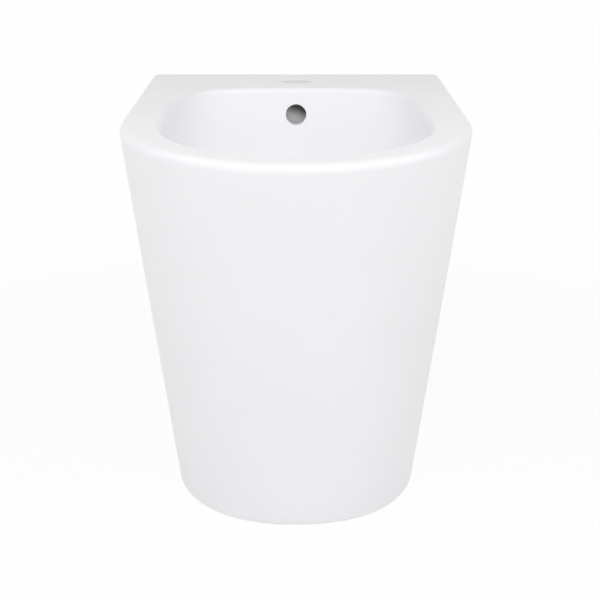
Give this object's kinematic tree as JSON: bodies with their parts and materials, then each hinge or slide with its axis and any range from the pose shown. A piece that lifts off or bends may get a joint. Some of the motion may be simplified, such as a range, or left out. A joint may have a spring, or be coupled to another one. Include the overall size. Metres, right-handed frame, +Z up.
{
  "type": "floor standing bidet",
  "caption": "Back-to-wall floor standing bidet with a tapered D-shaped glazed shroud, tap deck, overflow, push-plug waste and bottle trap.",
  "frame": {"origin": "middle of the underside of the bounding box: on the floor, halfway between the wall plane and the front of the rim", "axes": "+Z up, +Y towards the wall behind, -Y towards the front, +X to the right of someone who faces the wall"},
  "size_m": [0.358, 0.5584, 0.4],
  "materials": {
    "glaze": "gloss",
    "chrome": "polished",
    "rubber": "matte",
    "white_plastic": "satin",
    "grey_plastic": "satin",
    "steel": "satin",
    "brass": "satin"
  },
  "bodies": {
    "bidet": {"ceramic_shroud": "glaze", "ceramic_bowl": "glaze", "ceramic_deck": "glaze", "waste_flange": "chrome", "flange_gasket": "rubber", "plug_cartridge": "grey_plastic", "plug_spring": "steel", "tail_cone_gasket": "rubber", "tail_slip_washer": "white_plastic", "tail_back_nut": "brass", "trap_inlet_nut": "white_plastic", "trap_inlet_washer": "rubber", "trap_dip_tube": "white_plastic", "trap_neck_nut": "white_plastic", "trap_neck_seal": "rubber", "trap_bottle": "white_plastic", "outlet_nut": "white_plastic", "outlet_seal": "rubber", "floor_bracket_left": "steel", "floor_bracket_right": "steel", "side_bushes": "white_plastic", "side_screws": "steel", "side_nuts": "steel", "side_caps": "white_plastic"},
    "plug": {"waste_plug": "chrome", "plug_seal": "rubber", "plug_stem": "brass"},
    "cup_seal": {"trap_cup_seal": "rubber"},
    "cup": {"trap_cup": "white_plastic"},
    "outlet": {"outlet_pipe": "white_plastic"}
  },
  "joints": [
    {"name": "plug_press", "type": "slide", "parent": "bidet", "child": "plug", "axis": [0, 0, -1], "range_m": [0, 0.008], "stiffness_N_per_m": 250, "springref_m": -0.015, "deforming": ["plug_spring"]},
    {"name": "cup_lower", "type": "slide", "parent": "bidet", "child": "cup_seal", "axis": [0, 0, -1], "range_m": [0, 0.02]},
    {"name": "cup_unscrew", "type": "hinge", "parent": "cup_seal", "child": "cup", "pos_m": [0, 0.017, 0.06], "axis": [0, 0, -1], "range_deg": [0, 1800]},
    {"name": "outlet_slide", "type": "slide", "parent": "bidet", "child": "outlet", "axis": [0, 1, 0], "range_m": [-0.015, 0.015]}
  ],
  "couplings": [
    {"joint": "cup_unscrew", "follows": "cup_lower", "rad_per_m": 1570.8}
  ]
}
